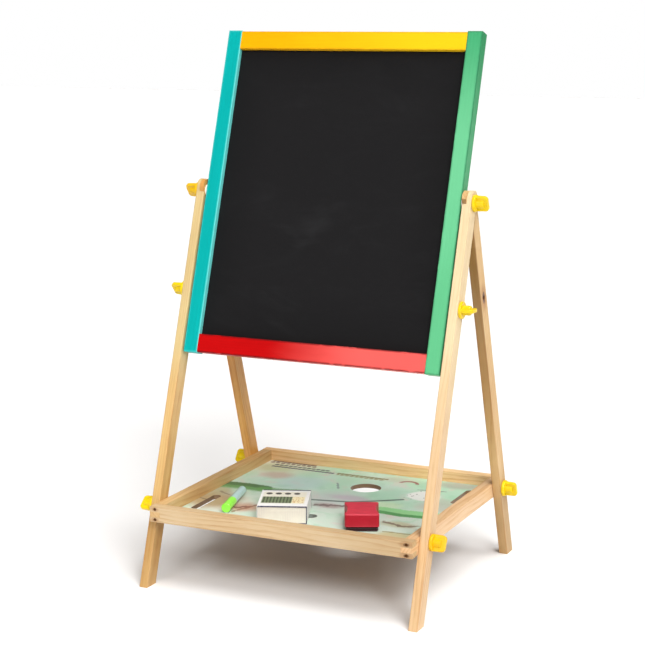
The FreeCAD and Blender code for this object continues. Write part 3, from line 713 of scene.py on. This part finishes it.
def felt():
    """Dark pressed wool: tangled fibres, chalk dust in the nap, a bond line half way up."""
    g = Graph("felt", Sheen_Weight=0.25, Sheen_Roughness=0.6, Specular_IOR_Level=0.1)
    p = g.at(ON_ERASER)
    hairs = g.noise(g.scale(p, (1, 1, 2.5)), 1800, 4, 0.7, 1.2)
    tangle = g.noise(p, 420, 4, 0.6, 0.8)
    z = g.split(p)[2]
    bond = g.within(z, *FELT_BOND, 0.0002)
    colour = g.mix(tangle, "140306", "3c0a14")
    colour = g.mix(g.times(g.step(hairs, 0.6, 0.8), 0.5), colour, "6b2028")
    colour = g.mix(g.times(bond, 0.5), colour, "0c0506")
    dust = g.times(g.step(g.noise(p, 90, 3), 0.5, 0.7), g.step(z, FELT_DUST, 0.0))
    colour = g.mix(g.times(dust, 0.14), colour, "a88a88")
    g.set("Base Color", colour)
    g.set("Roughness", g.plus(0.9, g.times(hairs, 0.1)))
    g.bump((hairs, 0.0003), (tangle, 0.0004))
    return g


pad = felt_pad()
pad.data.materials.append(felt().material)
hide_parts("eraser_felt")
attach(pad, "eraser")


# ---- printed tray floor --------------------------------------------------------------------------
# places and sizes in millimetres on the tray floor, x to the right and y to the back
# pale washes: (middle, raggedness, whole within, gone at, strength, ink)
WASHES = (
    ((-150, 150), 1.0, 30, 95, 0.65, "ede2c9"),
    ((-130, -70), 2.0, 20, 62, 0.7, "dfddcf"),
    ((0, 12), 1.5, 12, 60, 0.6, "cbc9cf"),
)
# smudges: (middle, half width, half depth, ink, strength)
SMUDGES = (
    ((-125, 86), 26, 20, "c99c8c", 0.6),
    ((-150, 120), 34, 22, "b9c48c", 0.6),
    ((-76, 63), 40, 40, "b4d2cf", 0.6),
    ((-150, -60), 44, 44, "b09464", 0.9),
    ((-98, -74), 30, 22, "c4957a", 0.85),
    ((6, -20), 24, 12, "a48e8c", 0.75),
    ((18, 24), 34, 14, "c3b3c0", 0.7),
    ((130, 140), 45, 18, "9c9a92", 0.7),
    ((122, -60), 28, 14, "b8b488", 0.7),
    ((140, -104), 36, 14, "c3b272", 0.75),
    ((60, 62), 24, 36, "a9d8bd", 0.6),
    ((140, 40), 34, 34, "b9a89c", 0.55),
    ((73, 14), 26, 16, "d2ecc0", 0.7),
    ((43, 135), 30, 16, "c8beac", 0.5),
    ((-168, -16), 24, 26, "b3a67a", 0.7),
)
# banks of grass, and last the line of far hills: (points, raggedness, half width, softness,
# strength, ink)
BANKS = (
    (((-190, 13), (-143, 19), (-113, 17)), 1.0, 13, 2.5, 0.92, "2a6a2a"),
    (((-180, 4), (-143, 9), (-108, 8)), 1.0, 8, 2.5, 0.7, "6fae66"),
    (((-113, 15), (-90, 16), (-60, 24)), 1.0, 9, 3.0, 0.7, "63a352"),
    (((76, -9), (110, -11), (185, -1)), 1.0, 14, 2.0, 0.85, "86d684"),
    (((78, -17), (110, -21), (185, -11)), 0.6, 6, 1.5, 0.85, "378f43"),
    (((-60, -8), (-26, -4), (24, 7), (54, 26), (84, 47)), 0.15, 3, 0.5, 0.85, "48605a"),
)
DAISIES = (104, 74)
DAISIES_RADIUS = 22
RAINBOW = (62, 120)
RAINBOW_RADIUS = 13.0
RAINBOW_WIDTH = 5.2
DARK_DISC = (4, -73)
DARK_DISC_RADIUS = 8.5
BEAD_RADIUS = 2.9
# scribbles: (from, to, width, ink)
SCRIBBLES = (
    ((-104, -78), (-92, -70), 7.0, "6e2c22"),
    ((-122, -62), (-112, -88), 4.0, "5c4a38"),
    ((-100, -98), (-84, -58), 4.5, "8c563e"),
    ((-172, -58), (-150, -66), 3.4, "6e5a44"),
    ((-160, -20), (-142, -30), 3.0, "857460"),
    ((-12, -24), (24, -14), 7.0, "6c5654"),
    ((102, -56), (126, -63), 6.0, "705040"),
    ((126, -66), (150, -56), 5.5, "7a644c"),
    ((118, -94), (160, -92), 3.2, "94804a"),
    ((-30, 84), (-18, 60), 2.4, "7f8f93"),
    ((86, 100), (124, 106), 2.8, "6d6a68"),
)
# rows of beads: (y, left, right, spacing, ink)
BEAD_ROWS = (
    (153, -166, -96, 6.2, "5a2e28"),
    (146, -168, -92, 8.4, "6e4640"),
    (136, -156, -66, 7.4, "26363f"),
    (127, -156, -56, 5.4, "2c3450"),
    (130, -52, 28, 5.8, "7d7440"),
    (124, -50, 24, 7.6, "8f8a5c"),
)
PRINT_SKIN = (0.00035, 0.0001)      # in metres: the print fades in between these depths


def printed_floor():
    """A pale meadow scene of plain shapes on hardboard, bare underneath and on the cut edges."""
    g = Graph("printed_board")
    p = g.at(UPRIGHT)
    flat = g.flat(p)
    x, y = g.split(flat)[:2]
    drift = g.noise(flat, 0.011, 2)
    fleck = g.noise(flat, 0.5, 3)
    soft = g.noise(flat, 0.028, 3, 0.55, 0.4)
    wander = g.times(g.minus(g.noise(flat, 0.05, 3), 0.5), 9.0)
    colour = g.mix(g.step(drift, 0.4, 0.62), "b6dfc3", "c5e2d1")
    colour = g.mix(g.times(g.step(g.plus(y, wander), 30, -30), 0.75), colour, "d2dfd1")
    colour = g.mix(g.times(g.step(soft, 0.52, 0.68), 0.5), colour, "ddccc5")
    colour = g.mix(g.times(g.step(soft, 0.46, 0.34), 0.4), colour, "9ad2ac")
    for spot, ragged, whole, gone, strength, ink in WASHES:
        gap = g.plus(g.to_spot(flat, spot), g.times(wander, ragged))
        colour = g.mix(g.times(g.step(gap, whole, gone, 1.0, 0.0), strength), colour, ink)
    for spot, wide, deep, ink, strength in SMUDGES:
        off = g.vector("DIVIDE", g.vector("SUBTRACT", flat, (*spot, 0)), (wide, deep, 1))
        gap = g.plus(g.vector("LENGTH", off, output="Value"), g.times(wander, 0.06))
        colour = g.mix(g.step(gap, 1.25, 0.4, 0.0, strength), colour, ink)

    blades = g.times(g.minus(g.noise(g.scale(flat, (1, 0.2, 1)), 0.55, 2), 0.5), 6.0)
    for points, ragged, width, blur, strength, ink in BANKS:
        gap = g.plus(g.to_line(flat, *points), g.times(blades, ragged))
        colour = g.mix(g.times(g.inside(gap, width, blur), strength), colour, ink)

    # a daisy patch, a rainbow arc and a dark disc with a paler middle
    away = g.plus(g.to_spot(flat, DAISIES), g.times(wander, 1.6))
    colour = g.mix(g.times(g.inside(away, DAISIES_RADIUS, 4), 0.85), colour, "f2f2ee")
    seeds = g.add("ShaderNodeTexVoronoi", {"Vector": flat, "Scale": 0.15, "Randomness": 0.9})
    dark = g.times(g.inside(seeds.outputs["Distance"], 0.2, 0.05),
                   g.inside(away, DAISIES_RADIUS + 3, 5))
    colour = g.mix(g.times(dark, 0.85), colour, "3a3f40")
    arc = g.math("ABSOLUTE", g.minus(g.to_spot(flat, RAINBOW), RAINBOW_RADIUS))
    arc = g.times(g.inside(arc, RAINBOW_WIDTH / 2), g.step(y, RAINBOW[1] + 1, RAINBOW[1] + 5))
    colour = g.mix(g.times(arc, 0.9), colour, "96484a")
    dark_disc = g.to_spot(flat, DARK_DISC)
    colour = g.mix(g.times(g.inside(dark_disc, DARK_DISC_RADIUS), 0.9), colour, "33382f")
    colour = g.mix(g.times(g.inside(dark_disc, 2.6), 0.8), colour, "8d9690")

    strokes = g.minus(g.noise(flat, 0.13, 2), 0.5)
    for start, end, width, ink in SCRIBBLES:
        gap = g.plus(g.to_line(flat, start, end), g.times(strokes, 2.2 * width))
        colour = g.mix(g.times(g.inside(gap, width * 0.55, 0.8), 0.8), colour, ink)

    for height, left, right, period, ink in BEAD_ROWS:
        row = g.math("ABSOLUTE", g.minus(y, height))
        lengthways = g.times(g.minus(1.0, g.wave(x, period)), period / 2)
        bead = g.vector("LENGTH", g.join(g.times(lengthways, 0.8), row), output="Value")
        bead = g.times(g.inside(bead, BEAD_RADIUS), g.within(x, left, right, 1.0))
        colour = g.mix(g.times(bead, 0.92), colour, ink)
    colour = g.mix(g.times(fleck, 0.18), colour, "8f988c")

    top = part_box("tray_panel")[1].z
    bare = g.mix(g.noise(p, 900, 4, 0.7), "66503a", "8c7052")
    printed = g.step(g.split(p)[2], top - PRINT_SKIN[0], top - PRINT_SKIN[1])
    g.set("Base Color", g.mix(printed, bare, colour))
    g.set("Roughness", g.plus(0.34, g.times(g.noise(p, 700, 2), 0.2)))
    g.bump((g.noise(p, 1500, 2), 0.00004), (fleck, 0.00003))
    dress(g, "tray_panel")


printed_floor()


# ---- stage ---------------------------------------------------------------------------------------
FLOOR_HALF = 12.0
AIM = Vector((0, 0, 0.35))      # the lamps point here
SUN_DISTANCE = 3.0
GLOW = (1.0, 0.90, 0.82, 1)
GLOW_STRENGTH = 0.21
CAMERA_PLACE = (0.93732, -1.9940, 0.7501)
CAMERA_AZIMUTH = math.radians(25.476)
CAMERA_PITCH = math.radians(10.534)
CAMERA_ROLL = math.radians(-0.2213)
CAMERA_LENS = 94.15
CAMERA_SENSOR = 36.0


def stage_floor():
    """Plain pale floor, very slightly cloudy."""
    mesh = bpy.data.meshes.new("floor")
    form = bmesh.new()
    bmesh.ops.create_grid(form, x_segments=2, y_segments=2, size=FLOOR_HALF)
    form.to_mesh(mesh)
    form.free()
    floor = bpy.data.objects.new("floor", mesh)
    bpy.context.scene.collection.objects.link(floor)
    g = Graph("floor")
    p = g.at(UPRIGHT)
    g.set("Base Color", g.mix(g.noise(p, 3, 2), 0.955, 0.975))
    g.set("Roughness", g.plus(0.5, g.times(g.noise(p, 40, 2), 0.1)))
    mesh.materials.append(g.material)


def towards(azimuth, elevation):
    """Direction from the easel, in radians. Azimuth 0 is in front, a quarter turn the right."""
    level = math.cos(elevation)
    return Vector((math.sin(azimuth) * level, -math.cos(azimuth) * level, math.sin(elevation)))


def lamp(name, kind, azimuth, elevation, power, distance):
    """A lamp that points at the easel from this side. Returns its settings."""
    data = bpy.data.lights.new(name, kind)
    data.energy = power
    way = towards(math.radians(azimuth), math.radians(elevation))
    body = bpy.data.objects.new(name, data)
    body.location = AIM + way * distance
    body.rotation_mode = "QUATERNION"
    body.rotation_quaternion = (-way).to_track_quat("-Z", "Y")
    bpy.context.scene.collection.objects.link(body)
    return data


def sun(name, azimuth, elevation, spread, power):
    lamp(name, "SUN", azimuth, elevation, power, SUN_DISTANCE).angle = math.radians(spread)


def area_light(name, azimuth, elevation, distance, size, power):
    data = lamp(name, "AREA", azimuth, elevation, power, distance)
    data.shape = "DISK"
    data.size = size


def stage_world():
    """White behind the easel, and a dim warm glow as light."""
    world = bpy.data.worlds.new("studio")
    bpy.context.scene.world = world
    world.use_nodes = True
    tree = world.node_tree
    tree.nodes.clear()
    out = tree.nodes.new("ShaderNodeOutputWorld")
    seen = tree.nodes.new("ShaderNodeBackground")
    seen.inputs[0].default_value = (1, 1, 1, 1)
    seen.inputs[1].default_value = 1.0
    glow = tree.nodes.new("ShaderNodeBackground")
    glow.inputs[0].default_value = GLOW
    glow.inputs[1].default_value = GLOW_STRENGTH
    path = tree.nodes.new("ShaderNodeLightPath")
    pick = tree.nodes.new("ShaderNodeMixShader")
    tree.links.new(path.outputs["Is Camera Ray"], pick.inputs[0])
    tree.links.new(glow.outputs[0], pick.inputs[1])
    tree.links.new(seen.outputs[0], pick.inputs[2])
    tree.links.new(pick.outputs[0], out.inputs[0])


def stage_camera():
    """Where the photograph was taken from."""
    back = towards(CAMERA_AZIMUTH, CAMERA_PITCH)
    right = Vector((math.cos(CAMERA_AZIMUTH), math.sin(CAMERA_AZIMUTH), 0))
    up = back.cross(right)
    side = right * math.cos(CAMERA_ROLL) + up * math.sin(CAMERA_ROLL)
    rise = up * math.cos(CAMERA_ROLL) - right * math.sin(CAMERA_ROLL)
    data = bpy.data.cameras.new("camera")
    data.lens = CAMERA_LENS
    data.sensor_width = CAMERA_SENSOR
    camera = bpy.data.objects.new("camera", data)
    matrix = Matrix((side, rise, back)).transposed().to_4x4()
    matrix.translation = CAMERA_PLACE
    camera.matrix_world = matrix
    bpy.context.scene.collection.objects.link(camera)
    bpy.context.scene.camera = camera


stage_floor()
stage_world()
stage_camera()
sun("key", 42, 36, 26, 2.0)
sun("overhead", 70, 70, 42, 2.35)
area_light("softbox", -9, 30, 2.6, 1.1, 9)
bpy.context.scene.view_settings.view_transform = "Standard"
